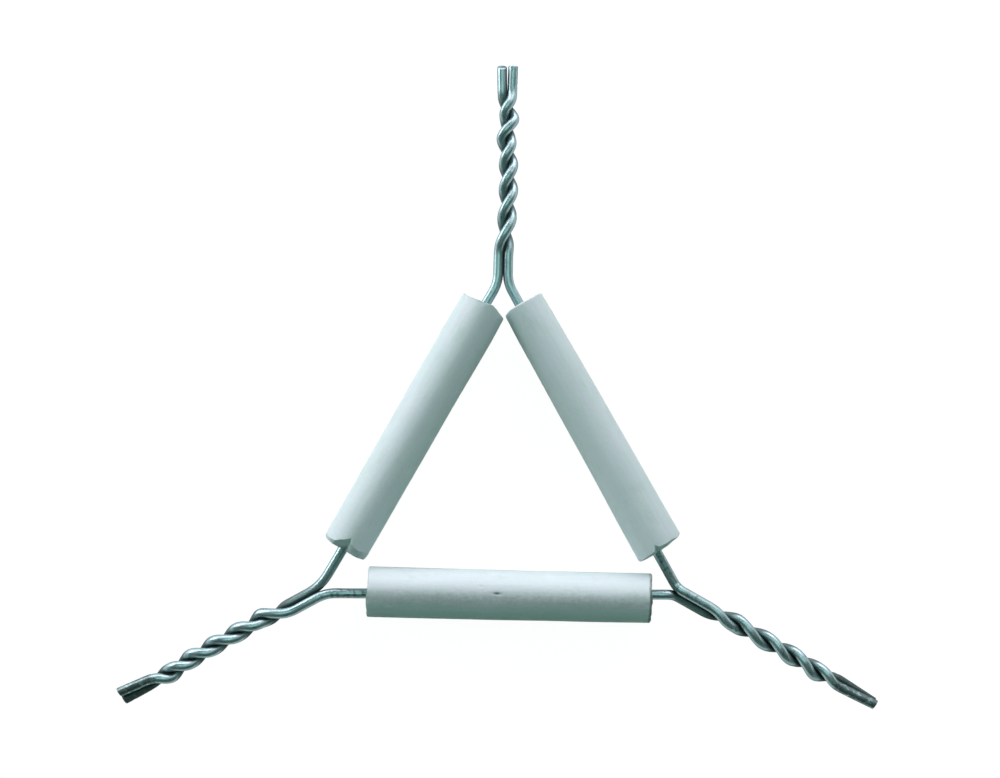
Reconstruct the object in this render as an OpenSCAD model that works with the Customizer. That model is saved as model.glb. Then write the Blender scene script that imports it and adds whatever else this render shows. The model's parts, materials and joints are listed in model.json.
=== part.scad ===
// Pipe clay triangle: three clay tubes, each threaded loosely on its own wire.
// The wires bend outwards at the corners and are twisted together in pairs,
// which makes three tails that lie on an iron ring or a tripod.
// Millimetres, +Z up. The tubes lie on z = 0, the middle of the triangle is
// over the origin, and one tail points towards +Y.

/* [Clay tubes] */
// Length of each tube
tube_length = 60; // [40:1:80]
// Outside diameter of the bottom tube at its left end
bottom_d_left = 10.6; // [8:0.1:14]
// Outside diameter of the bottom tube at its right end
bottom_d_right = 10.4; // [8:0.1:14]
// Outside diameter of the left tube at its foot
left_d_foot = 9.7; // [8:0.1:14]
// Outside diameter of the left tube at its head
left_d_head = 10.2; // [8:0.1:14]
// Outside diameter of the right tube at its head
right_d_head = 9.1; // [8:0.1:14]
// Outside diameter of the right tube at its foot
right_d_foot = 10.3; // [8:0.1:14]
// Diameter of the bore that the wire passes through
bore_d = 4.2; // [3.4:0.1:4.6]
// Radius of the rounded rims, outside and at the mouths of the bore
rim_r = 0.5; // [0.2:0.1:0.8]

/* [Uneven ends] */
// How far the bottom tube's left end is off square, in degrees
bottom_skew_left = 2.5; // [0:0.5:6]
// How far the bottom tube's right end is off square, in degrees
bottom_skew_right = 2; // [0:0.5:6]
// How far the right tube's foot is off square, in degrees
right_skew_foot = 5.5; // [0:0.5:8]
// Reach of the break in the left tube's foot, back along its top
break_reach = 2.6; // [1:0.1:4]
// Depth of that break at the end of the tube
break_depth = 2.6; // [1:0.1:2.6]
// Radius of the hollow that the break leaves
break_r = 9; // [5:0.5:20]
// Radius of the small chip in the right tube's foot
small_chip_r = 1.4; // [0.6:0.1:2]

/* [Wire] */
// Diameter of the wire
wire_d = 2.1; // [1.4:0.1:2.2]
// Least clearance between a wire and its bore
bore_gap = 0.05; // [0.02:0.01:0.1]
// Clearance between two strands that are twisted together
strand_gap = 0.05; // [0.02:0.01:0.1]

/* [Bare wire between a tube's end and the corner] */
// Bottom tube, at the left corner
bottom_bare_left = 11; // [8:0.1:14]
// Bottom tube, at the right corner
bottom_bare_right = 6.5; // [6:0.1:14]
// Left tube, at its foot
left_bare_foot = 11.1; // [9.5:0.1:14]
// Left tube, at its head
left_bare_head = 7.5; // [7:0.1:14]
// Right tube, at its head
right_bare_head = 7.3; // [7:0.1:14]
// Right tube, at its foot
right_bare_foot = 10.7; // [6:0.1:14]
// Slope of the bottom wire, in degrees
base_slope = -0.25; // [-5:0.05:5]

/* [How the tubes hang on their wires] */
// Each is the share of the free play by which a tube's end lies off its wire,
// above 0 outwards and below 0 inwards
// Bottom tube, left end
bottom_off_left = -0.45; // [-0.95:0.01:0.95]
// Bottom tube, right end
bottom_off_right = 0.7; // [-0.95:0.01:0.95]
// Left tube, foot
left_off_foot = -0.26; // [-0.95:0.01:0.95]
// Left tube, head
left_off_head = 0.2; // [-0.95:0.01:0.95]
// Right tube, head
right_off_head = 0.66; // [-0.95:0.01:0.95]
// Right tube, foot
right_off_foot = 0.94; // [-0.95:0.01:0.95]

/* [Top tail] */
// Length from the corner to the tip
top_length = 44.2; // [30:0.1:60]
// Where the twist starts, from the corner
top_twist_from = 5.6; // [5.5:0.1:10]
// Straight stretch at the tip, after the twist
top_straight = 6.3; // [2:0.1:12]
// Turns of the twist
top_turns = 3; // [1:0.01:3.5]
// How much tighter the twist is towards the tip, 0 for an even pitch
top_tightening = 0.21; // [0:0.01:0.3]
// Turn that the pair already has where it leaves the corner
top_first_turn = 0; // [0:0.01:0.15]
// Turn by which the ends spring back after the twist
top_spring = 0; // [-0.1:0.01:0.15]
// How far the tail leans from the middle line of its corner, in degrees
top_lean = -0.65; // [-5:0.05:5]
// How far the tail bows to its left, below 0 to its right
top_bow = -0.75; // [-1:0.05:1]
// How much further the strand of the left wire reaches
top_step = 0; // [-2:0.1:2]
// Radius of the bend in the left wire
top_bend_left = 8; // [4:0.5:10]
// Radius of the bend in the right wire
top_bend_right = 8; // [4:0.5:10]

/* [Left tail] */
// Length from the corner to the tip
left_length = 46.6; // [30:0.1:60]
// Where the twist starts, from the corner
left_twist_from = 7.2; // [7:0.1:10]
// Straight stretch at the tip, after the twist
left_straight = 7.6; // [2:0.1:12]
// Turns of the twist
left_turns = 2.86; // [1:0.01:3.5]
// How much tighter the twist is towards the tip, 0 for an even pitch
left_tightening = 0.14; // [0:0.01:0.3]
// Turn that the pair already has where it leaves the corner
left_first_turn = 0.1; // [0:0.01:0.15]
// Turn by which the ends spring back after the twist
left_spring = -0.03; // [-0.1:0.01:0.15]
// How far the tail leans from the middle line of its corner, in degrees
left_lean = -1.35; // [-5:0.05:5]
// How far the tail bows to its left, below 0 to its right
left_bow = -0.65; // [-1:0.05:1]
// How much further the strand of the bottom wire reaches
left_step = -0.6; // [-2:0.1:2]
// Radius of the bend in the bottom wire
left_bend_bottom = 8; // [4:0.5:12]
// Radius of the bend in the left wire
left_bend_left = 12; // [4:0.5:12]

/* [Right tail] */
// Length from the corner to the tip
right_length = 47.2; // [30:0.1:60]
// Where the twist starts, from the corner
right_twist_from = 7.6; // [5:0.1:10]
// Straight stretch at the tip, after the twist
right_straight = 9.8; // [2:0.1:12]
// Turns of the twist
right_turns = 2.36; // [1:0.01:3.5]
// How much tighter the twist is towards the tip, 0 for an even pitch
right_tightening = 0.16; // [0:0.01:0.3]
// Turn that the pair already has where it leaves the corner
right_first_turn = 0.1; // [0:0.01:0.15]
// Turn by which the ends spring back after the twist
right_spring = 0.1; // [-0.1:0.01:0.15]
// How far the tail leans from the middle line of its corner, in degrees
right_lean = 1.3; // [-5:0.05:5]
// How far the tail bows to its left, below 0 to its right
right_bow = 0.3; // [-1:0.05:1]
// How much further the strand of the right wire reaches
right_step = 0.3; // [-2:0.1:2]
// Radius of the bend in the right wire
right_bend_right = 4.5; // [4:0.5:10]
// Radius of the bend in the bottom wire
right_bend_bottom = 4.5; // [4:0.5:10]

/* [Hidden] */
$fn = 72;
clay = [0.87, 0.89, 0.86];
zinc = [0.52, 0.56, 0.56];
up = [0, 0, 1];

strand_sides = 12;      // flats round a bent strand
rings_per_turn = 16;    // sections of a strand in one turn of the twist
straight_rings = 4;     // sections of the straight stretch at the tip
bend_rings = 5;         // steps round a corner's bend
twist_ease = 1.6;       // length over which the twist sets in and dies out
bow_peak = 0.65;        // puts a tail's bow nearer to its corner than to its tip
strand_inset = 0.01;    // keeps a strand's edges inside the round wire it grows from
overlap = 1;            // how far a strand starts inside the straight wire
end_margin = 3;         // how far a cutting tool passes an end
rim_steps = 4;          // facets of a rounded rim

strand_offset = (wire_d + strand_gap) / 2;
play = (bore_d - wire_d) / 2 - bore_gap;

// The three wires make a triangle whose sides are a tube and its bare ends.
bottom_side = bottom_bare_left + tube_length + bottom_bare_right;
left_side = left_bare_foot + tube_length + left_bare_head;
right_side = right_bare_head + tube_length + right_bare_foot;
apex_x = (pow(bottom_side, 2) + pow(left_side, 2) - pow(right_side, 2)) / (2 * bottom_side);
apex_y = sqrt(pow(left_side, 2) - pow(apex_x, 2));
flat_corners = [[apex_x, apex_y], [bottom_side, 0], [0, 0]];
middle = (flat_corners[0] + flat_corners[1] + flat_corners[2]) / 3;

// Corners, wires, tubes and tails go clockwise. Wire k and its tube run from
// corner k to corner k + 1, and tail k leaves from corner k.
corners = [for (c = flat_corners) turned(c - middle, base_slope)];
TOP = 0;
RIGHT = 1;
LEFT = 2;

// Each tube: bare wire before it, its two diameters, its two shares of the play
tubes = [
    [right_bare_head, right_d_head, right_d_foot, right_off_head, right_off_foot],
    [bottom_bare_right, bottom_d_right, bottom_d_left, bottom_off_right, bottom_off_left],
    [left_bare_foot, left_d_foot, left_d_head, left_off_foot, left_off_head]
];

// Each tail: length, twist from, twist to, turns, tightening, first turn,
// spring, lean, bow, step
tails = [
    [top_length, top_twist_from, top_length - top_straight, top_turns,
        top_tightening, top_first_turn, top_spring, top_lean, top_bow, top_step],
    [right_length, right_twist_from, right_length - right_straight, right_turns,
        right_tightening, right_first_turn, right_spring, right_lean, right_bow, right_step],
    [left_length, left_twist_from, left_length - left_straight, left_turns,
        left_tightening, left_first_turn, left_spring, left_lean, left_bow, left_step]
];

// Each corner's bends: in the wire that starts there, in the wire that ends there
bends = [
    [top_bend_right, top_bend_left],
    [right_bend_bottom, right_bend_right],
    [left_bend_left, left_bend_bottom]
];

function turned(p, a) = [p[0] * cos(a) - p[1] * sin(a), p[0] * sin(a) + p[1] * cos(a)];
function unit(v) = v / norm(v);
function flat_cross(a, b) = a[0] * b[1] - a[1] * b[0];
function lifted(p, z) = [p[0], p[1], z];
function corner(k) = corners[(k + 3) % 3];
function side_dir(k) = unit(corner(k + 1) - corner(k));

// A tube's own line: its two ends lie off the wire by their shares of the play
function tube_end(k, far) =
    corner(k) + side_dir(k) * (tubes[k][0] + (far ? tube_length : 0))
    + turned(side_dir(k), 90) * play * tubes[k][far ? 4 : 3];
function tube_dir(k) = unit(tube_end(k, true) - tube_end(k, false));
function axis_z(k) = max(tubes[k][1], tubes[k][2]) / 2;

// The wires lie as low as the tightest of the bores lets them
function lowest_wire(k) =
    axis_z(k) - play * sqrt(1 - pow(max(abs(tubes[k][3]), abs(tubes[k][4])), 2));
wire_z = max([for (k = [TOP, RIGHT, LEFT]) lowest_wire(k)]);

// Direction of a tail: the outward middle line of its corner, plus its lean
function tail_dir(k) = turned(unit(side_dir(k - 1) - side_dir(k)), tails[k][7]);

// Share of the twist done at x, with soft starts and ends of width e
function eased(x, e) =
    x <= -e ? 0
    : x < e ? pow(x + e, 2) / (4 * e)
    : x <= 1 - e ? x
    : x < 1 + e ? 1 - pow(1 + e - x, 2) / (4 * e)
    : 1;
function tightened(x, g) = x + g * x * (x - 1);
function twist_angle(tail, s) =
    let (span = tail[2] - tail[1],
        share = tightened(eased((s - tail[1]) / span, twist_ease / span), tail[4]),
        sprung = max(0, (s - tail[2]) / (tail[0] - tail[2])))
    360 * (tail[5] + (tail[3] - tail[5]) * share - tail[6] * sprung);
function bowed(tail, s) =
    let (from = tail[1] - twist_ease,
        x = min(1, max(0, s - from) / (tail[0] - from)))
    tail[8] * (1 - cos(360 * pow(x, bow_peak))) / 2;

// A strand beside the tail's middle line at s, on the side that side = 1 or -1
// gives. It turns right-handed round that line.
function strand_point(k, side, s) =
    let (d = tail_dir(k), n = turned(d, 90), a = twist_angle(tails[k], s))
    lifted(corner(k) + d * s + n * (side * strand_offset * cos(a) + bowed(tails[k], s)),
        wire_z + side * strand_offset * sin(a));

// The bend: where the wire's line meets the strand's lane, and how far from
// that point the round starts
function inward_dir(k, side) = side > 0 ? -side_dir(k - 1) : side_dir(k);
function lane(k) = strand_offset * cos(360 * tails[k][5]);
function rise(k) = strand_offset * sin(360 * tails[k][5]);
function meet_dist(k, side) = side * lane(k) / flat_cross(tail_dir(k), inward_dir(k, side));
function bend_radius(k, side) = bends[k][side > 0 ? 1 : 0];
function bend_angle(k, side) = acos(-tail_dir(k) * inward_dir(k, side));
function bend_cut(k, side) = bend_radius(k, side) * tan(bend_angle(k, side) / 2);
function bend_start(k, side) = meet_dist(k, side) + bend_cut(k, side);

// Points of one bent end: inside the straight wire, round the bend with a soft
// rise, along the lane, through the twist and on to the tip
function end_path(k, side) =
    let (d = tail_dir(k), e = inward_dir(k, side), r = bend_radius(k, side),
        meet = corner(k) + e * meet_dist(k, side),
        start = meet + e * bend_cut(k, side),
        turn = side * bend_angle(k, side),
        inner = turned(-e, side > 0 ? 90 : -90),
        lane_from = (meet - corner(k)) * d + bend_cut(k, side),
        tail = tails[k],
        tip = tail[0] + side * tail[9] / 2,
        twist_from = tail[1] - twist_ease,
        twist_to = tail[2] + twist_ease,
        steps = ceil(rings_per_turn * tail[3]))
    concat(
        [lifted(start + e * overlap, wire_z)],
        [for (i = [0 : bend_rings - 1])
            lifted(start + inner * r - turned(inner, turn * i / bend_rings) * r,
                wire_z + side * rise(k) * (1 - cos(180 * i / bend_rings)) / 2)],
        [strand_point(k, side, lane_from)],
        [for (i = [0 : steps])
            strand_point(k, side, twist_from + (twist_to - twist_from) * i / steps)],
        [for (i = [1 : straight_rings])
            strand_point(k, side, twist_to + (tip - twist_to) * i / straight_rings)]
    );

function path_dir(path, i) =
    let (last = len(path) - 1)
    unit(path[min(i + 1, last)] - path[max(i - 1, 0)]);
function ring(p, t, r) =
    let (u = unit(cross(up, t)), v = cross(t, u))
    [for (a = [0 : 360 / strand_sides : 359]) p + r * (u * cos(a) + v * sin(a))];

// A round strand swept along a path
module swept(path, r) {
    n = strand_sides;
    last = len(path) - 1;
    points = [for (i = [0 : last]) each ring(path[i], path_dir(path, i), r)];
    walls = [for (i = [0 : last - 1], k = [0 : n - 1])
        let (a = i * n + k, b = i * n + (k + 1) % n)
        each [[a, a + n, b + n], [a, b + n, b]]];
    caps = [[for (k = [0 : n - 1]) k], [for (k = [n - 1 : -1 : 0]) last * n + k]];
    polyhedron(points, concat(walls, caps));
}

// Puts its child, drawn along +X from 0, at a point and along a direction
module along(p, d, z) {
    translate(lifted(p, z))
    rotate(atan2(d[1], d[0]))
    children();
}

// Half section of a tube from the bore outwards, with rounded rims
module tube_section(d_start, d_end) {
    r_start = d_start / 2;
    r_end = d_end / 2;
    bore_r = bore_d / 2;
    mouth = bore_r + rim_r;
    steps = [for (i = [0 : rim_steps]) 90 * i / rim_steps];
    polygon(concat(
        [for (a = steps) [mouth - rim_r * cos(a), rim_r - rim_r * sin(a)]],
        [for (a = steps) [r_start - rim_r + rim_r * sin(a), rim_r - rim_r * cos(a)]],
        [for (a = steps) [r_end - rim_r + rim_r * cos(a), tube_length - rim_r + rim_r * sin(a)]],
        [for (a = steps) [mouth - rim_r * sin(a), tube_length - rim_r + rim_r * cos(a)]]
    ));
}

// Tube k in its place. Its children are cut away, drawn along +X from its start.
module clay_tube(k) {
    color(clay)
    along(tube_end(k, false), tube_dir(k), axis_z(k))
    difference() {
        rotate([90, 0, 90]) rotate_extrude() tube_section(tubes[k][1], tubes[k][2]);
        children();
    }
}

// What a cut across a tube takes off beyond x, leaving its side at y longest
module end_cut(x, y, skew) {
    size = 2 * abs(y) + 2 * end_margin;
    turn = (y > 0) ? -skew : skew;
    translate([x, y, 0])
    rotate(x > 0 ? turn : 180 - turn)
    translate([0, -size, -size / 2])
    cube([size, 2 * size, size]);
}

// A wire: straight through its tube, with a bent strand at each end
module wire(k) {
    from = bend_start(k, -1);
    to = norm(corner(k + 1) - corner(k)) - bend_start((k + 1) % 3, 1);
    color(zinc) {
        along(corner(k) + side_dir(k) * from, side_dir(k), wire_z)
            rotate([0, 90, 0]) cylinder(h = to - from, d = wire_d);
        swept(end_path(k, -1), wire_d / 2 - strand_inset);
        swept(end_path((k + 1) % 3, 1), wire_d / 2 - strand_inset);
    }
}

// +Y of the bottom tube's own drawing is its lower side in plan.
module tube_bottom() {
    clay_tube(RIGHT) {
        end_cut(0, -bottom_d_right / 2, bottom_skew_right);
        end_cut(tube_length, bottom_d_left / 2, bottom_skew_left);
    }
}

// The break is a hollow whose ball meets the top of the tube at its reach and
// the end of the tube at its depth.
module tube_left() {
    r = left_d_foot / 2;
    chord = norm([break_reach, break_depth]);
    lift = sqrt(pow(break_r, 2) - pow(chord / 2, 2)) / chord;
    clay_tube(LEFT)
        translate([break_reach / 2 - break_depth * lift, -0.6, r - break_depth / 2 + break_reach * lift])
        sphere(break_r);
}

module tube_right() {
    clay_tube(TOP) {
        end_cut(tube_length, -right_d_foot / 2, right_skew_foot);
        translate([tube_length + small_chip_r * 0.2, 1.5, right_d_foot / 2]) sphere(small_chip_r);
    }
}

module wire_bottom() { wire(RIGHT); }
module wire_left() { wire(LEFT); }
module wire_right() { wire(TOP); }

tube_bottom();
tube_left();
tube_right();
wire_bottom();
wire_left();
wire_right();
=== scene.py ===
import json
import math
import random

import bpy
from mathutils import Matrix, Vector, kdtree, noise


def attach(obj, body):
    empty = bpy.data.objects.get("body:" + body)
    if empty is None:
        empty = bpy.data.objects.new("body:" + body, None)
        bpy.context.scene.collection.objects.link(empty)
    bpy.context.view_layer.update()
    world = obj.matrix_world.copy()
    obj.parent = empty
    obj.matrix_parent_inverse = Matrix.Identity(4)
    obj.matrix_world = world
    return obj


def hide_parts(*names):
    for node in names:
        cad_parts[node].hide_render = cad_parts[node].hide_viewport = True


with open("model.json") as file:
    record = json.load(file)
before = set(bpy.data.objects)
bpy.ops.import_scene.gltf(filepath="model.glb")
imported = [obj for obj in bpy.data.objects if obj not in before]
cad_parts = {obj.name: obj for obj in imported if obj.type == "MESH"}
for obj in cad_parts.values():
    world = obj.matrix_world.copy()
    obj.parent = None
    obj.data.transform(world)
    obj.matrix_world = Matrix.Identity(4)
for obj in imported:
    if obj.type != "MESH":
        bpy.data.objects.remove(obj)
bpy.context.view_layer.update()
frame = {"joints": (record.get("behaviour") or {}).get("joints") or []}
mm = 0.001    # shapes are drawn in mm, while lamps, floor and camera are in metres
up = Vector((0, 0, 1))


def turned(v, degrees):
    a = math.radians(degrees)
    return Vector((v.x * math.cos(a) - v.y * math.sin(a), v.x * math.sin(a) + v.y * math.cos(a), 0))


def lifted(v, z):
    return Vector((v.x, v.y, z))


def softStep(low, high, x):
    t = min(1, max(0, (x - low) / (high - low)))
    return t * t * (3 - 2 * t)


def hump(x, middle, width):
    return math.exp(-((x - middle) / width) ** 2)


# Pieces

def shadeEdges(mesh, sharpAngle):
    mesh.shade_smooth()
    mesh.set_sharp_from_angle(angle=math.radians(sharpAngle))


def newPiece(name, points, faces, sharpAngle):
    mesh = bpy.data.meshes.new(name)
    mesh.from_pydata([tuple(p * mm) for p in points], [], faces)
    mesh.validate()
    shadeEdges(mesh, sharpAngle)
    piece = bpy.data.objects.new(name, mesh)
    bpy.context.scene.collection.objects.link(piece)
    return piece


def ringFaces(rings, sides, closed):
    # Between one ring of points and the next, and from the last to the first if closed
    return [(i * sides + j, i * sides + (j + 1) % sides,
             (i + 1) % rings * sides + (j + 1) % sides, (i + 1) % rings * sides + j)
            for i in range(rings if closed else rings - 1) for j in range(sides)]


def addLayer(piece, name, values):
    layer = piece.data.attributes.new(name, "FLOAT", "POINT")
    layer.data.foreach_set("value", values)


# Nodes of a material

def setInput(tree, socket, value):
    if isinstance(value, bpy.types.NodeSocket):
        tree.links.new(value, socket)
    else:
        socket.default_value = value


def addNode(tree, kind, settings=None, inputs=None):
    node = tree.nodes.new(kind)
    for key, value in (settings or {}).items():
        setattr(node, key, value)
    for key, value in (inputs or {}).items():
        setInput(tree, node.inputs[key], value)
    return node


def addMath(tree, operation, *values):
    return addNode(tree, "ShaderNodeMath", {"operation": operation}, dict(enumerate(values))).outputs[0]


def addStretch(tree, vector, scale):
    return addNode(tree, "ShaderNodeMapping", None, {"Vector": vector, "Scale": scale}).outputs[0]


def addNoise(tree, vector, stretch, detail, roughness):
    return addNode(tree, "ShaderNodeTexNoise", None, {
        "Vector": addStretch(tree, vector, stretch), "Scale": 1.0,
        "Detail": detail, "Roughness": roughness}).outputs["Fac"]


def addSpread(tree, value, low, high, toLow=0, toHigh=1):
    return addNode(tree, "ShaderNodeMapRange", None, {
        "Value": value, "From Min": low, "From Max": high, "To Min": toLow, "To Max": toHigh}).outputs[0]


def addMix(tree, share, first, second):
    return addNode(tree, "ShaderNodeMix", {"data_type": "RGBA"}, {0: share, 6: first, 7: second}).outputs[2]


def addBump(tree, height, strength, distance, under=None):
    inputs = {"Height": height, "Strength": strength, "Distance": distance}
    if under is not None:
        inputs["Normal"] = under
    return addNode(tree, "ShaderNodeBump", None, inputs).outputs[0]


def readLayer(tree, name, output="Fac"):
    return addNode(tree, "ShaderNodeAttribute", {"attribute_name": name}).outputs[output]


def newFinish(name):
    material = bpy.data.materials.new(name)
    material.use_nodes = True
    return material, material.node_tree, material.node_tree.nodes["Principled BSDF"]


# Wires. Corners, wires and tails go clockwise: 0 top, 1 right, 2 left. Wire k
# runs from corner k to corner k + 1. Side 1 of a tail is the strand of the wire
# that ends at its corner, side -1 that of the wire that starts there.

triangle = {
    "tubeLength": 60,
    "bare": ((7.3, 10.7), (6.5, 11.0), (11.1, 7.5)),  # beside each tube: at its wire's start, at its end
    "slope": -0.25,         # degrees
    "wireDiameter": 2.1,
    "strandGap": -0.015,    # under 0, the strands of a tail press into each other
    "wireHeight": 4.809,    # of the wires' middle over the floor
    "twistEase": 1.6,       # half the length over which a twist sets in
    "bowPeak": 0.65,        # under 1, a tail bows most nearer its corner
    "veerEase": 4,          # how far before the straight part a veer starts
    "lobeFollow": 0.9,      # share of a lobe that the other strand follows
}

# A twist starts at twistFrom and leaves the last part of its tail straight. firstTurn and
# turns are the whole turns made where it starts and ends, tightening crowds them towards
# the tip, and spring is how far the straight part turned back. bends are the radii at the
# corner, of sides -1 and 1, and step is how much longer side 1 is. lean turns the tail, in
# degrees, and bow bends it sideways. Towards the tip, parting moves the strands apart and
# veer takes both sideways.
# A lobe is where a strand was bent out a little too far: place along the tail,
# side, reach and width. A cut is the slant of a strand's end: upwards, sideways.
tails = (
    {"length": 44.3, "step": -0.2, "lean": -0.65, "bow": -0.75, "bends": (8, 8),
     "twistFrom": 5.6, "straight": 6.4, "firstTurn": 0, "turns": 3.0, "tightening": 0.21,
     "spring": 0, "parting": 0.14, "veer": 0,
     "lobes": ((32.9, -1, 0.5, 2.2), (29.0, 1, 0.45, 2.2)), "cuts": {1: (32, 0), -1: (6, 0)}},
    {"length": 47.3, "step": -0.2, "lean": 1.3, "bow": 0.3, "bends": (4.5, 4.5),
     "twistFrom": 7.6, "straight": 9.9, "firstTurn": 0.1, "turns": 2.36, "tightening": 0.16,
     "spring": 0.1, "parting": 0, "veer": 0,
     "lobes": ((13.2, 1, 0.3, 2.4), (33.2, -1, 0.25, 2.4)), "cuts": {1: (14, -8), -1: (10, 6)}},
    {"length": 47.0, "step": 0.3, "lean": -1.35, "bow": -0.65, "bends": (12, 8),
     "twistFrom": 7.2, "straight": 8.0, "firstTurn": 0.1, "turns": 2.86, "tightening": 0.14,
     "spring": -0.03, "parting": 0.22, "veer": -0.55,
     "lobes": ((13.0, -1, 0.5, 2.2), (35.4, 1, 0.45, 2.2)), "cuts": {1: (8, 6), -1: (12, -10)}},
)

wireMake = {
    "sides": 28,
    "ringSpacing": 0.24,
    "bendSteps": 30,
    "tailSpacing": 0.12,
    "smoothing": 4,                      # passes that round off the line
    "wobble": (0.05, 0.16, 4),           # of a bare wire's line: reach, rate, and over what length it sets in
    "wobbleShift": 7.3,                  # from one wire's noise to the next one's
    "unevenness": (0.02, 0.7, 0.35),     # change of radius, and its rates round and along the wire
    "unevenShift": 40,
    "nicks": 26,                         # dents that the pliers left in the twisted ends
    "nickPlaces": (0.8, 38),             # from the nearer tip
    "nickDepth": (0.021, 0.07),
    "nickWidth": (0.2, 0.5),
    "nickReach": 1.5,
    "nickNarrow": 6,                     # higher is narrower round the wire
    "cutBevel": 0.18,
    "cutReach": 1.3,                     # how far a slanted cut drags the wire behind it
    "sharpFrom": 50,
    "seed": 11,
}

# Flame-darkened lengths of each wire: from and to, past the corner where it starts, and how much
tarnish = (((60, 84, 0.2),), ((64, 76.5, 0.3),), ())

# The zinc at each corner. Pairs are for the bare wires and for the tail. Darkening where the strands touch is
# painted shade, and darkening below each wire's middle is painted shade on its undersides
zincAge = (
    {"chalk": (0.65, 0.5), "shadeAndDirtShare": (0.2, 0.6), "creviceShade": 0.6, "darkTip": 0},
    {"chalk": (0.35, 0.42), "shadeAndDirtShare": (0.55, 0.8), "creviceShade": 0.85, "darkTip": 0.7},
    {"chalk": (0.45, 0.33), "shadeAndDirtShare": (0.55, 0.85), "creviceShade": 0.8, "darkTip": 0.7},
)

# Where each thing starts and where it is full
zincReach = {
    "tail": (0, 7),              # along a tail, for what differs from the bare wires
    "darkTip": (-2, 1),          # past the end of the twist
    "creviceShade": (1.9, 1.35),        # painted shade where the strands touch: from another wire's middle, in radii
    "shadeAndDirt": (0.75, 0.0),         # painted shade on the undersides: over the wire's own level
    "tarnishEnds": (-1.5, 1.5),  # round each end of a tarnished length
    "tarnishSide": (4.5, 2),     # sideways from the bare wire's line
}

strandOffset = (triangle["wireDiameter"] + triangle["strandGap"]) / 2


def triangleCorners():
    right, bottom, left = [sum(bare) + triangle["tubeLength"] for bare in triangle["bare"]]
    apexX = (bottom ** 2 + left ** 2 - right ** 2) / (2 * bottom)
    apexY = math.sqrt(left ** 2 - apexX ** 2)
    flat = [Vector((apexX, apexY, 0)), Vector((bottom, 0, 0)), Vector((0, 0, 0))]
    middle = (flat[0] + flat[1] + flat[2]) / 3
    return [turned(corner - middle, triangle["slope"]) for corner in flat]


corners = triangleCorners()


def sideDir(k):
    return (corners[(k + 1) % 3] - corners[k % 3]).normalized()


def tailDir(k):
    return turned((sideDir(k - 1) - sideDir(k)).normalized(), tails[k]["lean"])


def twistEnd(tail):
    return tail["length"] - tail["straight"]


def easedShare(x, e):
    if x <= -e:
        return 0
    if x < e:
        return (x + e) ** 2 / (4 * e)
    if x <= 1 - e:
        return x
    return 1 - (1 + e - x) ** 2 / (4 * e) if x < 1 + e else 1


def twistAngle(tail, s):
    span = twistEnd(tail) - tail["twistFrom"]
    x = easedShare((s - tail["twistFrom"]) / span, triangle["twistEase"] / span)
    share = x + tail["tightening"] * x * (x - 1)
    sprung = tail["spring"] * max(0, (s - twistEnd(tail)) / tail["straight"])
    return 2 * math.pi * (tail["firstTurn"] + (tail["turns"] - tail["firstTurn"]) * share - sprung)


def bowed(tail, s):
    start = tail["twistFrom"] - triangle["twistEase"]
    x = min(1, max(0, s - start) / (tail["length"] - start))
    veerFrom, veerTo = twistEnd(tail) - triangle["veerEase"], tail["length"] + triangle["veerEase"]
    veered = tail["veer"] * softStep(veerFrom, veerTo, s)
    return tail["bow"] * (1 - math.cos(2 * math.pi * x ** triangle["bowPeak"])) / 2 + veered


def strandPoint(k, side, s):
    tail = tails[k]
    a = twistAngle(tail, s)
    parted = tail["parting"] * softStep(twistEnd(tail), tail["length"], s)
    sway = side * (strandOffset + parted) * math.cos(a)
    for place, lobeSide, reach, width in tail["lobes"]:
        follow = 1 if sway * lobeSide > 0 else triangle["lobeFollow"]
        sway += lobeSide * reach * follow * max(0, 1 - abs(s - place) / width)
    along = tailDir(k)
    across = turned(along, 90)
    return lifted(corners[k] + along * s + across * (sway + bowed(tail, s)),
                  triangle["wireHeight"] + side * strandOffset * math.sin(a))


def bentEnd(k, side):
    # From the straight wire round the bend and along the tail to the tip. lane and rise
    # are how far to the side and up the strand lies where its twist starts
    tail = tails[k]
    along = tailDir(k)
    inward = -sideDir(k - 1) if side > 0 else sideDir(k)
    radius = tail["bends"][1 if side > 0 else 0]
    first = 2 * math.pi * tail["firstTurn"]
    lane = strandOffset * math.cos(first)
    rise = strandOffset * math.sin(first)
    meetDist = side * lane / (along.x * inward.y - along.y * inward.x)
    bendAngle = math.degrees(math.acos(-along.dot(inward)))
    cut = radius * math.tan(math.radians(bendAngle / 2))
    meet = corners[k] + inward * meetDist
    start = meet + inward * cut
    inner = turned(-inward, 90 if side > 0 else -90)
    steps = wireMake["bendSteps"]
    points = []
    for i in range(steps):
        p = start + inner * radius - turned(inner, side * bendAngle * i / steps) * radius
        risen = (1 - math.cos(math.pi * i / steps)) / 2
        points.append(lifted(p, triangle["wireHeight"] + side * rise * risen))
    laneFrom = (meet - corners[k]).dot(along) + cut
    laneLength = tail["length"] + side * tail["step"] / 2 - laneFrom
    count = int(laneLength / wireMake["tailSpacing"])
    return points + [strandPoint(k, side, laneFrom + laneLength * i / count) for i in range(count + 1)]


def lengthsAlong(points):
    lengths = [0]
    for a, b in zip(points, points[1:]):
        lengths.append(lengths[-1] + (b - a).length)
    return lengths


def evenSteps(points, spacing):
    # Even steps along the line, rounded off a little as in a bent wire
    lengths = lengthsAlong(points)
    count = round(lengths[-1] / spacing)
    evenly, j = [], 0
    for i in range(count + 1):
        s = lengths[-1] * i / count
        while j < len(points) - 2 and lengths[j + 1] < s:
            j += 1
        evenly.append(points[j].lerp(points[j + 1], (s - lengths[j]) / (lengths[j + 1] - lengths[j])))
    for _ in range(wireMake["smoothing"]):
        middles = [(a + b * 2 + c) / 4 for a, b, c in zip(evenly, evenly[1:], evenly[2:])]
        evenly = [evenly[0], *middles, evenly[-1]]
    return evenly


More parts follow.
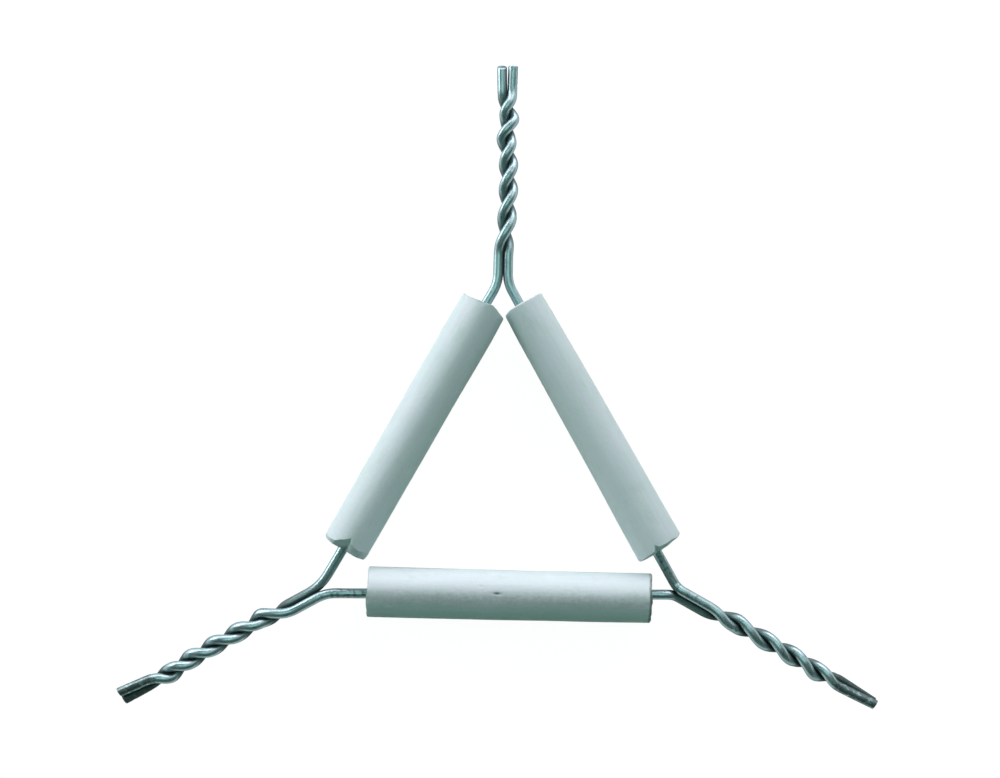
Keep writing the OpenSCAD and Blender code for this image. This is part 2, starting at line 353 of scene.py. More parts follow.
def wirePath(k):
    head = bentEnd(k, -1)
    foot = bentEnd((k + 1) % 3, 1)
    start, span = head[0], (foot[0] - head[0]).length
    across = turned(sideDir(k), 90)
    reach, rate, ease = wireMake["wobble"]
    path = evenSteps(head[::-1] + foot, wireMake["ringSpacing"])
    for i, p in enumerate(path):
        x = (p - start).dot(sideDir(k))
        stray = noise.noise(Vector((x * rate, k * wireMake["wobbleShift"], wireMake["seed"]))) * reach
        path[i] = p + across * stray * softStep(0, ease, x) * softStep(0, ease, span - x)
    return path


wirePaths = [wirePath(k) for k in range(3)]


def wireTree(path):
    tree = kdtree.KDTree(len(path))
    for i, p in enumerate(path):
        tree.insert(p, i)
    tree.balance()
    return tree


wireTrees = [wireTree(path) for path in wirePaths]


def tarnishAt(k, p):
    before, after = zincReach["tarnishEnds"]
    fromCorner = p - lifted(corners[k], p.z)
    x = fromCorner.dot(sideDir(k))
    sideways = abs(fromCorner.dot(turned(sideDir(k), 90)))
    amounts = [amount * softStep(start + before, start + after, x) * softStep(end + after, end + before, x)
               for start, end, amount in tarnish[k]]
    return max([0] + amounts) * softStep(*zincReach["tarnishSide"], sideways)


def zincAt(k, p):
    # Wire k only reaches the corners k and k + 1
    corner = min((k, (k + 1) % 3), key=lambda c: (p - corners[c]).length)
    age, tail = zincAge[corner], tails[corner]
    away = (p - corners[corner]).dot(tailDir(corner))
    onTail = softStep(*zincReach["tail"], away)
    others = [tree.find(p)[2] for i, tree in enumerate(wireTrees) if i != k]
    near = min(others) / (triangle["wireDiameter"] / 2)
    chalk, shadeAndDirtShare = [first + (second - first) * onTail for first, second in (age["chalk"], age["shadeAndDirtShare"])]
    darkTip = age["darkTip"] * softStep(*zincReach["darkTip"], away - twistEnd(tail))
    # Darkening near another wire is painted shade where the strands touch, and darkening below the wire's
    # middle is painted shade on its undersides
    return {
        "tarnish": max(tarnishAt(k, p), darkTip),
        "chalk": chalk,
        "creviceShade": age["creviceShade"] * softStep(*zincReach["creviceShade"], near),
        "shadeAndDirtShare": shadeAndDirtShare * softStep(*zincReach["shadeAndDirt"], p.z - triangle["wireHeight"]),
    }


def plierNicks(k, total):
    # Each has a place along the wire, an angle round it, a depth and a width
    chance = random.Random(wireMake["seed"] + k)
    nicks = []
    for _ in range(wireMake["nicks"]):
        fromTip = chance.uniform(*wireMake["nickPlaces"])
        place = fromTip if chance.random() < 0.5 else total - fromTip
        nicks.append((place, chance.uniform(0, 2 * math.pi),
                      chance.uniform(*wireMake["nickDepth"]), chance.uniform(*wireMake["nickWidth"])))
    return nicks


def wirePiece(name, k):
    path = wirePaths[k]
    lengths = lengthsAlong(path)
    total, last = lengths[-1], len(path) - 1
    nicks = plierNicks(k, total)
    cuts = (tails[k]["cuts"][-1], tails[(k + 1) % 3]["cuts"][1])
    sides, bevel = wireMake["sides"], wireMake["cutBevel"]
    unevenness, roundRate, alongRate = wireMake["unevenness"]
    points, coords = [], []

    def addRing(i, shrink, tipPush):
        p, s = path[i], lengths[i]
        t = (path[min(i + 1, last)] - path[max(i - 1, 0)]).normalized()
        u = up.cross(t).normalized()
        v = t.cross(u)
        near = [nick for nick in nicks if abs(nick[0] - s) < wireMake["nickReach"]]
        atStart = s < total / 2
        slant, sideways = [math.tan(math.radians(angle)) for angle in cuts[0 if atStart else 1]]
        drag = max(0, 1 - (s if atStart else total - s) / wireMake["cutReach"])
        for j in range(sides):
            a = 2 * math.pi * j / sides
            uneven = noise.noise(Vector((math.cos(a) * roundRate, math.sin(a) * roundRate,
                                         s * alongRate + wireMake["unevenShift"] * k)))
            r = triangle["wireDiameter"] / 2 - shrink + uneven * unevenness
            for place, angle, depth, width in near:
                r -= depth * hump(s, place, width) * max(0, math.cos(a - angle)) ** wireMake["nickNarrow"]
            out = u * math.cos(a) + v * math.sin(a)
            back = r * drag * (math.sin(a) * slant + math.cos(a) * sideways)
            points.append(p + out * r + t * (back - tipPush if atStart else tipPush - back))
            coords.append((math.cos(a), math.sin(a), s))

    # A rounded edge, from the cut face outwards
    bevelSteps = [(bevel * (1 - math.sin(q)), bevel * math.cos(q)) for q in (0, math.pi / 6, math.pi / 3)]
    for shrink, push in bevelSteps:
        addRing(0, shrink, push - bevel)
    for i in range(1, last):
        addRing(i, 0, 0)
    for shrink, push in reversed(bevelSteps):
        addRing(last, shrink, push - bevel)
    rings = len(points) // sides
    faces = ringFaces(rings, sides, False)
    faces.append(tuple(range(sides - 1, -1, -1)))
    faces.append(tuple((rings - 1) * sides + j for j in range(sides)))
    piece = newPiece(name, points, faces, wireMake["sharpFrom"])
    layer = piece.data.attributes.new("wireCoord", "FLOAT_VECTOR", "POINT")
    layer.data.foreach_set("vector", [c for p in coords for c in p])
    ages = [zincAt(k, p) for p in points]
    for title in ages[0]:
        addLayer(piece, title, [age[title] for age in ages])
    return piece


# Over the wire's own coordinate, which is a unit circle round it and mm along it, a texture
# has a stretch, a detail and a roughness. A spread has the texture's low and high value, and
# what they become. A bump has a strength and a distance in metres.
zincFinish = {
    "pale": (0.405, 0.53, 0.56, 1),
    "dull": (0.255, 0.37, 0.39, 1),
    "chalky": (0.435, 0.62, 0.65, 1),
    # The stain colour also gives the painted shade on the undersides, and the darkest colour after it gives
    # the painted shade where the strands touch
    "stainAndShade": (0.07, 0.10, 0.095, 1),
    "creviceShade": (0.028, 0.046, 0.046, 1),
    "edge": (0.14, 0.22, 0.23, 1),
    "textures": {
        "streaks": ((5, 5, 0.5), 5, 0.65),
        "patches": ((0.8, 0.8, 0.45), 4, 0.6),
        "grain": ((9, 9, 9), 3, 0.6),
        "stains": ((1.6, 1.6, 1.1), 4, 0.6),
    },
    "toneShares": (0.6, 0.4),               # of patches and streaks
    "toneSpread": (0.38, 0.62),             # from dull to pale
    "chalkSpread": (0.3, 0.6, 0.75, 1.15),  # over the patches
    "tarnishShare": 0.35,                   # what tarnish adds to the stains
    "stainSpread": (0.60, 0.74, 0, 0.75),
    "roughness": (0.5, 0.8, 0.26, 0.40),    # over streaks and grain
    "grainShare": 0.3,
    "underShadeRoughness": 0.35,                  # what the painted underside shade adds
    "metallic": (0.92, 0.45),               # clean, chalky
    "underShadeShine": 0.35,                      # share of the metal's shine that the painted underside shade leaves
    "specular": 0.2,
    "streakBump": (0.08, 0.0002),
    "grainBump": (0.03, 0.0002),
}


def zincMaterial():
    material, tree, shader = newFinish("dulledZinc")
    coord = readLayer(tree, "wireCoord", "Vector")
    textures = {name: addNoise(tree, coord, *texture) for name, texture in zincFinish["textures"].items()}
    streaks, patches, grain = textures["streaks"], textures["patches"], textures["grain"]
    layers = ("tarnish", "chalk", "creviceShade", "shadeAndDirtShare")
    tarnished, chalk, creviceShaded, shadeAndDirtShare = [readLayer(tree, name) for name in layers]
    tone = addMath(tree, "ADD", *[addMath(tree, "MULTIPLY", texture, share)
                                  for texture, share in zip((patches, streaks), zincFinish["toneShares"])])
    chalked = addMath(tree, "MULTIPLY", chalk, addSpread(tree, patches, *zincFinish["chalkSpread"]))
    blotches = addMath(tree, "ADD", textures["stains"],
                       addMath(tree, "MULTIPLY", tarnished, zincFinish["tarnishShare"]))
    stained = addSpread(tree, blotches, *zincFinish["stainSpread"])
    toned = addSpread(tree, tone, *zincFinish["toneSpread"])
    color = addMix(tree, toned, zincFinish["dull"], zincFinish["pale"])
    # Chalk and stains are the zinc's own; the underside and crevice darkening mixed in here are painted shade
    for share, tint in ((chalked, "chalky"), (stained, "stainAndShade"), (shadeAndDirtShare, "stainAndShade"), (creviceShaded, "creviceShade")):
        color = addMix(tree, share, color, zincFinish[tint])
    fine = addMath(tree, "ADD", streaks, addMath(tree, "MULTIPLY", grain, zincFinish["grainShare"]))
    roughness = addMath(tree, "ADD", addSpread(tree, fine, *zincFinish["roughness"]),
                        addMath(tree, "MULTIPLY", shadeAndDirtShare, zincFinish["underShadeRoughness"]))
    metallic = addMath(tree, "MULTIPLY", addSpread(tree, chalked, 0, 1, *zincFinish["metallic"]),
                       addSpread(tree, shadeAndDirtShare, 0, 1, 1, zincFinish["underShadeShine"]))
    lines = addBump(tree, streaks, *zincFinish["streakBump"])
    tree.links.new(color, shader.inputs["Base Color"])
    tree.links.new(roughness, shader.inputs["Roughness"])
    tree.links.new(metallic, shader.inputs["Metallic"])
    tree.links.new(addBump(tree, grain, *zincFinish["grainBump"], lines), shader.inputs["Normal"])
    shader.inputs["Specular IOR Level"].default_value = zincFinish["specular"]
    shader.inputs["Specular Tint"].default_value = zincFinish["edge"]
    return material


zinc = zincMaterial()
for k, side in enumerate(("right", "bottom", "left")):
    wire = wirePiece("twisted_wire_" + side, k)
    wire.data.materials.append(zinc)
    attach(wire, "wire_frame")
    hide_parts("wire_" + side)
    print("stage: wire", side, "made,", len(wire.data.polygons), "faces")


# Clay tubes, each drawn along X with its middle at 0. +Y is its outer side.

clayMake = {
    "length": triangle["tubeLength"],
    "boreDiameter": 4.2,
    "around": 180,
    "ringSpacing": 0.28,
    "rimSteps": 7,
    "faceSteps": 9,
    "boreSteps": 60,
    "skin": (0.55, 0.8),                 # of the end's radius: bore up to the first, skin from the second
    "rolling": (0.06, 0.07, 0.9),        # unevenness of hand rolling: height, rates along and round the tube
    "ripple": (0.010, 0.9, 5),
    "extrusionLines": (0.006, 0.02, 9),
    "wear": (0.16, 0.2, 3.1),            # of the outer rims: depth and rates
    "wearPatches": (0.1, 1.5),           # how much of a rim is worn, how unevenly
    "wearBand": (0.25, 0.5),             # its middle and its width
    "cutMarks": (0.05, 0.8, 0.3),        # of the ends: height, rate, and how deep they go
    "cutGrain": (1, 2, 3),               # how the finer marks follow the coarser
    "rimShadePatches": (0.75, 0.6, 0.3, 2.3),  # of the painted rim shade: its level, how much it varies, rates
    "rimShadeEase": 0.12,
    "dentFall": 1.7,                     # higher is narrower
    "headReach": 7,                      # how far from its end each of these is felt
    "skewReach": 9,
    "shapeReach": 2.5,
    "sharpFrom": 40,
}

# flatter is how much wider than high the tube dried, apart from its head, the end beside
# another tube: 1 is the end, -1 the start. Each end, the start first: skew is in degrees
# off square, shape gives how far the end stands out at places across it, and the rounded
# rim is painted darker, as painted shade, within a given width of the end.
# A dent: place, angle round the tube, length, width, depth and darkening. The darkening of
# small pits is real dark specks; long bands of no depth are painted shadow and painted shade.
clayTubes = {
    "bottom": {
        "sag": 0.06, "flatter": 0, "head": 0, "seed": 3,
        "ends": ({"diameter": 10.4, "skew": 2, "longSide": -1, "rim": 0.16, "shadeAndDirt": 1.0, "rimShadeWidth": 0.5,
                  "shape": ((-5.2, 0.15), (-2.8, -0.25), (0, 0), (1.5, -0.1), (4.5, 0.15))},
                 {"diameter": 10.6, "skew": 1.4, "longSide": 1, "rim": 0.26, "shadeAndDirt": 0.5, "rimShadeWidth": 0.14,
                  "shape": ((-5.3, 0.25), (-3.4, -0.08), (-1.5, -0.1), (0.8, 0.12), (2.7, 0))}),
        "dents": ((2.6, 103, 1.25, 0.36, 0.22, 0.9), (2.6, 97.5, 1.3, 0.3, -0.06, 0),
                  (5.9, 119, 0.7, 0.3, 0.1, 0.1), (5.0, 112, 0.4, 0.9, 0.07, 0),
                  (25.0, 70, 0.6, 0.5, 0.10, 0), (-18, 40, 0.4, 0.35, 0.08, 0),
                  # The three bands below are painted: a painted shadow of the left tube on the inner side,
                  # painted shade along the outer edge, and painted shade along the crown
                  (22, 190, 16, 2.0, 0, 0.5), (-12, 10, 26, 1.0, 0, 0.3), (0, 90, 160, 3.3, 0, 0.46)),
    },
    "left": {
        "sag": 0.05, "flatter": 0.028, "head": 1, "seed": 17,
        "ends": ({"diameter": 9.7, "skew": 2.8, "longSide": -1, "rim": 0.34, "shadeAndDirt": 0.6, "rimShadeWidth": 0.34,
                  "shape": ((0, 0),)},
                 {"diameter": 10.2, "skew": 0, "longSide": 1, "rim": 0.26, "shadeAndDirt": 0.6, "rimShadeWidth": 0.2,
                  "shape": ((-5.0, -0.6), (-3.4, -0.05), (-2.0, 0.45), (-1.2, 0.4), (-0.4, 0.08),
                            (0.7, 0), (3.4, -0.3), (4.9, -0.15))}),
        # The last band is painted shade, a dark line along the inner side
        "dents": ((12, 95, 0.5, 0.35, 0.05, 0.1), (-20, 30, 0.5, 0.3, 0.06, 0), (0, 184, 160, 0.9, 0, 0.3)),
    },
    "right": {
        "sag": 0.05, "flatter": 0.022, "head": -1, "seed": 29,
        "ends": ({"diameter": 9.1, "skew": 0, "longSide": 1, "rim": 0.3, "shadeAndDirt": 0.1, "rimShadeWidth": 0.15,
                  "shape": ((-4.5, -0.6), (-3.1, -0.15), (0, -0.1), (4.2, -0.05))},
                 {"diameter": 10.3, "skew": 5.5, "longSide": -1, "rim": 0.16, "shadeAndDirt": 0.35,
                  "rimShadeWidth": 0.24, "shape": ((-5.1, 0.15), (-3.7, 0))}),
        # The last band is painted shade, a dark line along the inner side
        "dents": ((-8, 60, 0.5, 0.4, 0.06, 0), (17, 110, 0.5, 0.3, 0.05, 0.1), (0, 184, 160, 0.8, 0, 0.25)),
    },
}


def onLine(pairs, y):
    # Straight from one pair to the next, held beyond the first and the last
    for (a, valueA), (b, valueB) in zip(pairs, pairs[1:]):
        if a <= y <= b:
            return valueA + (valueB - valueA) * (y - a) / (b - a)
    return pairs[0][1] if y < pairs[0][0] else pairs[-1][1]


def endSection(end, outer, rim):
    # From the skin over one end into the bore, as in tubeSection
    half, bore = clayMake["length"] / 2, clayMake["boreDiameter"] / 2
    rimSteps, faceSteps = clayMake["rimSteps"], clayMake["faceSteps"]
    angles = [math.radians(90 * i / rimSteps) for i in range(rimSteps + 1)]
    arc = [(math.sin(q), math.cos(q)) for q in angles]
    over = [(end * (half - rim + rim * sine), outer - rim + rim * cosine, end * sine, cosine)
            for sine, cosine in arc[1:]]
    flat = [(end * half, outer - rim + (bore + 2 * rim - outer) * i / faceSteps, end, 0)
            for i in range(1, faceSteps)]
    into = [(end * (half - rim + rim * cosine), bore + rim - rim * sine, end * cosine, -sine)
            for sine, cosine in arc]
    return over + flat + into


def tubeSection(ends):
    # Round the section from the skin's start, over the end, back through the bore and over
    # the start: place along the tube, radius, and outward normal
    half, bore = clayMake["length"] / 2, clayMake["boreDiameter"] / 2
    first, second = [end["diameter"] / 2 for end in ends]
    rimFirst, rimSecond = [end["rim"] for end in ends]
    body = 2 * half - rimFirst - rimSecond
    count, boreSteps = round(body / clayMake["ringSpacing"]), clayMake["boreSteps"]
    skin = [(rimFirst - half + body * i / count, first + (second - first) * i / count, 0, 1)
            for i in range(count + 1)]
    inside = [(half - rimSecond - body * i / boreSteps, bore, 0, -1) for i in range(1, boreSteps)]
    return skin + endSection(1, second, rimSecond) + inside + endSection(-1, first, rimFirst)[::-1]


def skinNoise(alongRate, roundRate, x, y, z, seed):
    return noise.noise(Vector((x * alongRate, y * roundRate, z * roundRate + seed)))


def dentsAt(dents, x, a, r):
    # How deep the dents are at a place, and their darkening: real dark specks, and painted shadow and shade
    # in the long bands
    deep, darkened, fall = 0, 0, clayMake["dentFall"]
    for place, angle, length, width, depth, darkening in dents:
        if abs(x - place) < 2 * length:  # nothing is left of a dent beyond that
            arcDist = ((a - math.radians(angle) + math.pi) % (2 * math.pi) - math.pi) * r
            near = hump(x, place, length / fall) * hump(arcDist, 0, width / fall)
            deep += depth * near
            darkened += darkening * near
    return deep, darkened


def tubeMesh(name, values):
    half, around, seed = clayMake["length"] / 2, clayMake["around"], values["seed"]
    uneven = [clayMake[kind] for kind in ("rolling", "ripple", "extrusionLines")]
    wear, *wearRates = clayMake["wear"]
    wearShift, wearPower = clayMake["wearPatches"]
    markHeight, markRate, markBand = clayMake["cutMarks"]
    rimShadeLevel, rimShadeChange, *rimShadeRates = clayMake["rimShadePatches"]
    section = tubeSection(values["ends"])
    points, shadeAndDirtValues = [], []
    for x, r, normalX, normalR in section:
        side = math.copysign(1, x)
        end = values["ends"][1 if x > 0 else 0]
        endRadius = end["diameter"] / 2
        fromEnd = half - abs(x)
        # 0 in the bore, 1 on the skin
        outer = softStep(*[endRadius * share for share in clayMake["skin"]], r)
        pastHead = softStep(half, half - clayMake["headReach"], x * values["head"])
        wide = 1 + values["flatter"] * outer * pastHead
        sag = values["sag"] * outer * (math.cos(math.pi * x / (2 * half)) - 0.5)
        edge = hump(fromEnd + max(0, endRadius - r), *clayMake["wearBand"])
        atFace = abs(normalX) * hump(fromEnd, 0, markBand)
        rimShadeFrom, rimShadeTo = end["rimShadeWidth"] + clayMake["rimShadeEase"], end["rimShadeWidth"] - clayMake["rimShadeEase"]
        # The rounded rim at each end is painted darker: painted shade
        rimShade = end["shadeAndDirt"] * outer * softStep(rimShadeFrom, rimShadeTo, fromEnd)
        skewShare = softStep(half - clayMake["skewReach"], half, abs(x))
        shapeShare = softStep(half - clayMake["shapeReach"], half, abs(x))
        for j in range(around):
            a = 2 * math.pi * j / around
            y, z = math.cos(a), math.sin(a)
            swell = outer * sum(height * skinNoise(*rates, x, y, z, seed) for height, *rates in uneven)
            worn = max(0, skinNoise(*wearRates, x, y, z, -seed) + wearShift) ** wearPower * edge * wear
            markPlace = Vector((x, y * r * markRate, z * r * markRate + seed))
            cutMark = noise.fractal(markPlace, *clayMake["cutGrain"]) * markHeight
            shadeAndDirt = rimShade * (rimShadeLevel + rimShadeChange * skinNoise(*rimShadeRates, x, y, z, seed))
            if outer:
                # Dents add real dark specks, and long bands of painted shadow and painted shade
                deep, darkened = dentsAt(values["dents"], x, a, r)
                swell -= deep
                shadeAndDirt += darkened
            newR = r + swell - normalR * worn
            skewed = math.tan(math.radians(end["skew"])) * (endRadius - end["longSide"] * newR * y)
            newX = x - normalX * worn + atFace * cutMark * side
            newX += side * (onLine(end["shape"], newR * y) * shapeShare - skewed * skewShare)
            points.append(Vector((newX, newR * y * wide + sag, newR * z)))
            shadeAndDirtValues.append(shadeAndDirt)
    tube = newPiece(name, points, ringFaces(len(section), around, True), clayMake["sharpFrom"])
    addLayer(tube, "shadeAndDirt", shadeAndDirtValues)
    return tube


breakMake = {
    "reach": 7.0,
    "steps": 140,
    "beyond": 3,                     # how far the cutting block stands out past the end
    "shallowest": -0.8,              # under 0 is clear of the tube
    "grain": (1.1, 0.9, 2.1, 5),     # rate, and how the finer grain follows the coarser
    "sharpFrom": 38,
}

# A break: which end, its depth along the tube at places across it, how fast the break
# runs out below the skin, its roughness, and how much darker the broken clay is painted,
# which is painted shade of the broken faces
breaks = {
    "left": {"end": -1, "slope": 1.0, "roughness": 0.08, "shadeAndDirt": 1.1,
             "depths": ((-4.9, 1.5), (-4.0, 1.75), (-2.75, 1.85), (-1.6, 2.3), (-1.0, 2.6), (-0.45, 3.65),
                        (0.8, 2.6), (1.6, 2.1), (2.4, 1.35), (4.5, 1.05), (4.9, 0.8))},
    "right": {"end": 1, "slope": 0.8, "roughness": 0.07, "shadeAndDirt": 0.5,
              "depths": ((-4.9, 0.0), (-4.0, 0.45), (-2.8, 0.8), (-1.6, 1.05), (-0.95, 2.25), (-0.2, 1.5),
                         (1.0, 1.4), (2.8, 1.42), (4.3, 1.05), (4.9, 0.6))},
}


def breakTool(radius, cut, seed):
    # A block that overlaps a tube's end by the depth of the break at each place
    reach, steps = breakMake["reach"], breakMake["steps"]
    rate, *grain = breakMake["grain"]
    half, end = clayMake["length"] / 2, cut["end"]
    points = []
    for layer in range(2):
        for i in range(steps + 1):
            for j in range(steps + 1):
                y, z = reach * (2 * i / steps - 1), reach * (2 * j / steps - 1)
                top = math.sqrt(max(0, radius ** 2 - y ** 2))
                uneven = noise.fractal(Vector((y * rate, z * rate, seed)), *grain) * cut["roughness"]
                depth = onLine(cut["depths"], y) + (z - top) * cut["slope"] + uneven
                depth = -breakMake["beyond"] if layer else max(breakMake["shallowest"], depth)
                points.append(Vector((end * (half - depth), y, z)))
    wide = steps + 1
    faces = []
    for layer in range(2):
        start = layer * wide * wide
        for i in range(steps):
            for j in range(steps):
                a = start + i * wide + j
                face = (a, a + 1, a + wide + 1, a + wide)
                faces.append(face if (end > 0) == bool(layer) else face[::-1])
    rim = [i * wide for i in range(steps)] + [steps * wide + j for j in range(steps)]
    rim += [(steps - i) * wide + steps for i in range(steps)] + [steps - j for j in range(steps)]
    for a, b in zip(rim, rim[1:] + rim[:1]):
        face = (a, b, b + wide * wide, a + wide * wide)
        faces.append(face if end > 0 else face[::-1])
    tool = newPiece("break_tool", points, faces, 180)
    # The broken faces are painted darker: painted shade
    addLayer(tool, "shadeAndDirt", [cut["shadeAndDirt"]] * len(points))
    return tool


def takeOff(piece, tool):
    cut = piece.modifiers.new("break", "BOOLEAN")
    cut.object = tool
    cut.operation = "DIFFERENCE"
    cut.solver = "EXACT"
    bpy.context.view_layer.update()
    graph = bpy.context.evaluated_depsgraph_get()
    broken = bpy.data.meshes.new_from_object(piece.evaluated_get(graph))
    piece.modifiers.clear()
    piece.data = broken
    shadeEdges(broken, breakMake["sharpFrom"])
    bpy.data.objects.remove(tool)


# Textures, spreads and bumps as for the zinc, but over the tube in mm. A layer has its
# texture, its spread and its tint, and goes over those before it.
clayFinish = {
    "pale": (0.80, 0.89, 0.935, 1),
    "cool": (0.745, 0.865, 0.885, 1),
    "green": (0.66, 0.81, 0.775, 1),
    "fleck": (0.33, 0.40, 0.40, 1),
    # the colour the clay darkens to towards the bore and inside it
    "boreDark": (0.22, 0.25, 0.25, 1),
    "violet": (0.795, 0.845, 0.935, 1),
    # The darkest clay colour is painted shade of rims, broken faces and long bands, and the colour of real
    # dark specks
    "shadeAndDirt": (0.11, 0.17, 0.15, 1),
    "textures": {
        "clouds": ((0.09, 0.2, 0.2), 4, 0.55),
        "patches": ((0.22, 0.3, 0.3), 3, 0.6),
        "grain": ((5, 5, 5), 3, 0.65),
        "drag": ((0.05, 1.5, 1.5), 4, 0.6),
        "tint": ((0.08, 0.9, 0.9), 2, 0.5),
        "dimples": ((1.1, 1.1, 1.1), 4, 0.6),
        "specks": ((2.6, 2.6, 2.6), 2, 0.5),
    },
    "layers": (
        ("patches", (0.54, 0.72, 0, 0.6), "green"),
        ("tint", (0.42, 0.62, 0, 0.4), "violet"),
        ("drag", (0.38, 0.68, 0, 0.07), "fleck"),
        ("specks", (0.73, 0.78, 0, 0.5), "fleck"),
        ("grain", (0.25, 0.45, 0.12, 0), "fleck"),
    ),
    "cloudSpread": (0.36, 0.64),            # from cool to pale
    "boreDarkEdge": 1.2,                       # how much the dimples break the edge of the darkening towards the bore
    "boreDarkSpread": (2.6, 3.9, 0.75, 0),     # over the distance from the bore's middle
    "shadeAndDirtSpread": (0.3, 0.7, 0.8, 1.15),    # of the painted shade and the dark specks, over the dimples
    "roughness": (0.3, 0.7, 0.55, 0.8),     # over the dimples
    "specular": 0.35,
    "grainBump": (0.25, 0.0001),
    "dimpleBump": (0.35, 0.0002),
}


def clayMaterial():
    material, tree, shader = newFinish("firedPipeClay")
    place = addNode(tree, "ShaderNodeTexCoord").outputs["Object"]
    inMm = addStretch(tree, place, (1 / mm, 1 / mm, 1 / mm))
    textures = {name: addNoise(tree, inMm, *texture) for name, texture in clayFinish["textures"].items()}
    grain, dimples = textures["grain"], textures["dimples"]
    clouded = addSpread(tree, textures["clouds"], *clayFinish["cloudSpread"])
    color = addMix(tree, clouded, clayFinish["cool"], clayFinish["pale"])
    for name, spread, tint in clayFinish["layers"]:
        color = addMix(tree, addSpread(tree, textures[name], *spread), color, clayFinish[tint])
    parts = addNode(tree, "ShaderNodeSeparateXYZ", None, {0: inMm}).outputs
    squares = [addMath(tree, "MULTIPLY", part, part) for part in (parts[1], parts[2])]
    fromAxis = addMath(tree, "POWER", addMath(tree, "ADD", *squares), 0.5)
    # Darker towards the bore and inside it
    boreDarkAt = addMath(tree, "ADD", fromAxis, addMath(tree, "MULTIPLY", dimples, clayFinish["boreDarkEdge"]))
    boreDarkened = addSpread(tree, boreDarkAt, *clayFinish["boreDarkSpread"])
    # This layer holds painted shade of rims, broken faces and long bands, and real dark specks
    shadeAndDirtShare = addMath(tree, "MULTIPLY", readLayer(tree, "shadeAndDirt"),
                     addSpread(tree, dimples, *clayFinish["shadeAndDirtSpread"]))
    color = addMix(tree, boreDarkened, color, clayFinish["boreDark"])
    color = addMix(tree, shadeAndDirtShare, color, clayFinish["shadeAndDirt"])
    fine = addBump(tree, grain, *clayFinish["grainBump"])
    tree.links.new(color, shader.inputs["Base Color"])
    tree.links.new(addSpread(tree, dimples, *clayFinish["roughness"]), shader.inputs["Roughness"])
    tree.links.new(addBump(tree, dimples, *clayFinish["dimpleBump"], fine), shader.inputs["Normal"])
    shader.inputs["Specular IOR Level"].default_value = clayFinish["specular"]
    return material


clay = clayMaterial()
for name, values in clayTubes.items():
    body = name + "_tube"
    joint = next(j for j in frame["joints"] if j["child"] == body)
    tube = tubeMesh("fired_tube_" + name, values)
    if name in breaks:
        radius = values["ends"][1 if breaks[name]["end"] > 0 else 0]["diameter"] / 2
        takeOff(tube, breakTool(radius, breaks[name], values["seed"]))
    along = Vector(joint["axis"]).normalized()
    turn = Matrix((along, up.cross(along), up)).transposed().to_4x4()
    tube.matrix_world = Matrix.Translation(Vector(joint["pos_m"])) @ turn
    tube.data.materials.clear()
    tube.data.materials.append(clay)
    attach(tube, body)
    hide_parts("tube_" + name)
    print("stage: tube", name, "made,", len(tube.data.polygons), "faces")


# Floor, lamps and camera

studio = {
    "floorRadius": 2.4,
    "sweepRadius": 3.2,
    "sweepHeight": 0.7,
    "floorRings": 24,
    "floorSides": 96,
    "floorGlow": 0.965,     # of full white, where the camera or a reflection sees the floor
    "floorShade": 0.13,     # how much of the real light and shadow shows there
    "bounce": (0.475, 0.785, 0.61, 1),
    "air": (0.58, 1.0, 0.76, 1),
    "airStrength": 0.075,
}

# azimuth and elevation in degrees, distance and size in metres, power in watts
lamps = {
    "backPanel": {"azimuth": 90, "elevation": 12, "distance": 1.2, "size": (1.6, 0.5),
                  "power": 10.0, "color": (1.0, 0.885, 0.98)},
    "leftPanel": {"azimuth": 150, "elevation": 12, "distance": 1.2, "size": (0.9, 0.5),
                  "power": 7.5, "color": (1.0, 0.955, 0.985)},
    "rightPanel": {"azimuth": 60, "elevation": 28, "distance": 1.2, "size": (1.0, 1.0),
                   "power": 4.8, "color": (1.0, 0.87, 0.92)},
    "overheadPanel": {"azimuth": 90, "elevation": 76, "distance": 0.82, "size": (0.6, 0.38),
                      "power": 1.2, "color": (0.54, 0.985, 0.89)},
}


def bendUp(r):
    t = max(0, (r - studio["floorRadius"]) / (studio["sweepRadius"] - studio["floorRadius"]))
    return studio["sweepHeight"] * t ** 3


def floorMaterial():
    # White to the camera and in reflections, a real surface to all other light
    material, tree, _ = newFinish("studioWhite")
    tree.nodes.clear()
    rays = addNode(tree, "ShaderNodeLightPath").outputs
    seen = addMath(tree, "MAXIMUM", addMath(tree, "MAXIMUM", rays["Is Camera Ray"], rays["Is Glossy Ray"]),
                   rays["Is Transmission Ray"])
    shade, glow = studio["floorShade"], studio["floorGlow"]
    real = addNode(tree, "ShaderNodeBsdfDiffuse", None, {"Color": studio["bounce"]}).outputs[0]
    faint = addNode(tree, "ShaderNodeBsdfDiffuse", None, {"Color": (shade, shade, shade, 1)}).outputs[0]
    bright = addNode(tree, "ShaderNodeEmission", None, {"Color": (1, 1, 1, 1), "Strength": glow}).outputs[0]
    white = addNode(tree, "ShaderNodeAddShader", None, {0: faint, 1: bright}).outputs[0]
    either = addNode(tree, "ShaderNodeMixShader", None, {0: seen, 1: real, 2: white}).outputs[0]
    addNode(tree, "ShaderNodeOutputMaterial", None, {"Surface": either})
    return material


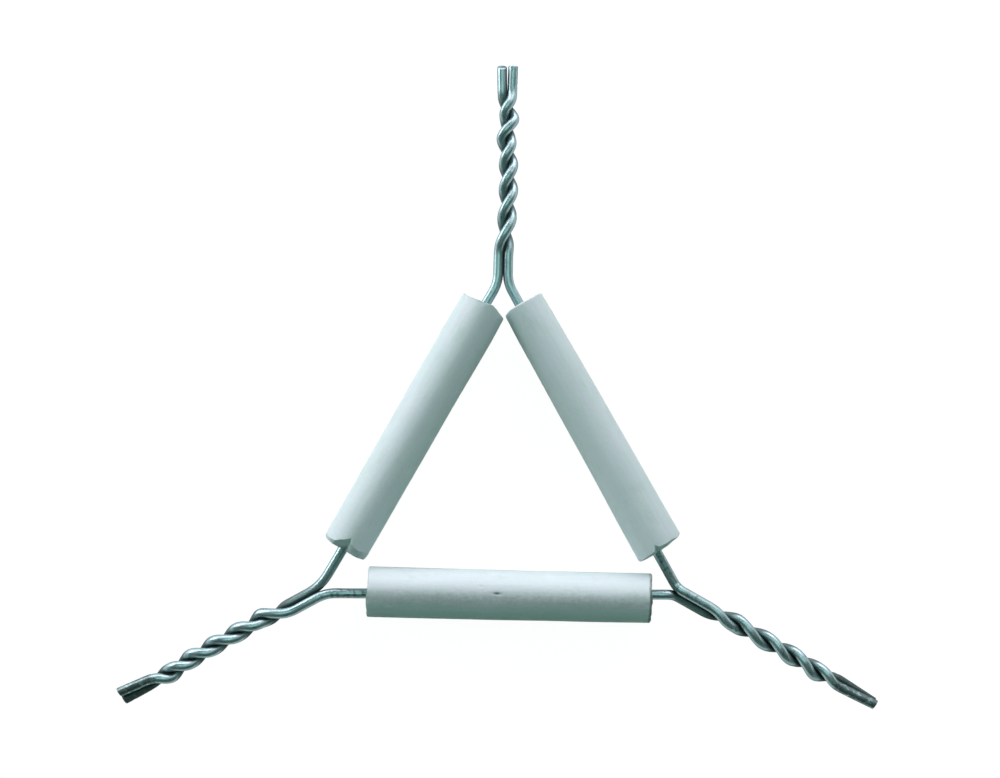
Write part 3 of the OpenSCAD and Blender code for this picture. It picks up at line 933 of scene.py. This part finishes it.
def studioFloor():
    rings, around = studio["floorRings"], studio["floorSides"]
    points = [Vector((0, 0, 0))]
    for i in range(1, rings + 1):
        r = studio["sweepRadius"] * i / rings
        for j in range(around):
            a = 2 * math.pi * j / around
            points.append(Vector((r * math.cos(a), r * math.sin(a), bendUp(r))))
    faces = [(0, 1 + j, 1 + (j + 1) % around) for j in range(around)]
    for i in range(rings - 1):
        for j in range(around):
            a, b = 1 + i * around + j, 1 + i * around + (j + 1) % around
            faces.append((a, a + around, b + around, b))
    floor = newPiece("studio_floor", [p / mm for p in points], faces, 180)
    floor.data.materials.append(floorMaterial())


def studioLamp(name, values):
    azimuth, elevation = math.radians(values["azimuth"]), math.radians(values["elevation"])
    direction = Vector((math.cos(elevation) * math.cos(azimuth), math.cos(elevation) * math.sin(azimuth),
                        math.sin(elevation)))
    light = bpy.data.lights.new(name, "AREA")
    light.shape = "RECTANGLE"
    light.size, light.size_y = values["size"]
    light.energy = values["power"]
    light.color = values["color"]
    lamp = bpy.data.objects.new(name, light)
    lamp.location = direction * values["distance"]
    lamp.rotation_euler = direction.to_track_quat("Z", "Y").to_euler()
    lamp.visible_camera = False
    bpy.context.scene.collection.objects.link(lamp)


def studioAir():
    world = bpy.data.worlds.new("studioAir")
    world.use_nodes = True
    background = world.node_tree.nodes["Background"]
    background.inputs["Color"].default_value = studio["air"]
    background.inputs["Strength"].default_value = studio["airStrength"]
    bpy.context.scene.world = world


studioFloor()
for name, values in lamps.items():
    studioLamp(name, values)
studioAir()
bpy.context.scene.view_settings.view_transform = "Standard"

# The camera looks straight down. Place, height and clip are in metres, lens and sensor in mm
viewpoint = {"over": (-0.00004, 0.02097), "height": 0.240, "lens": 39.744, "sensor": 36, "clip": (0.01, 20)}

lens = bpy.data.cameras.new("viewFromAbove")
lens.lens = viewpoint["lens"]
lens.sensor_width = viewpoint["sensor"]
lens.sensor_fit = "HORIZONTAL"
lens.clip_start, lens.clip_end = viewpoint["clip"]
camera = bpy.data.objects.new("viewFromAbove", lens)
camera.location = (*viewpoint["over"], viewpoint["height"])
bpy.context.scene.collection.objects.link(camera)
bpy.context.scene.camera = camera
print("stage: studio set")
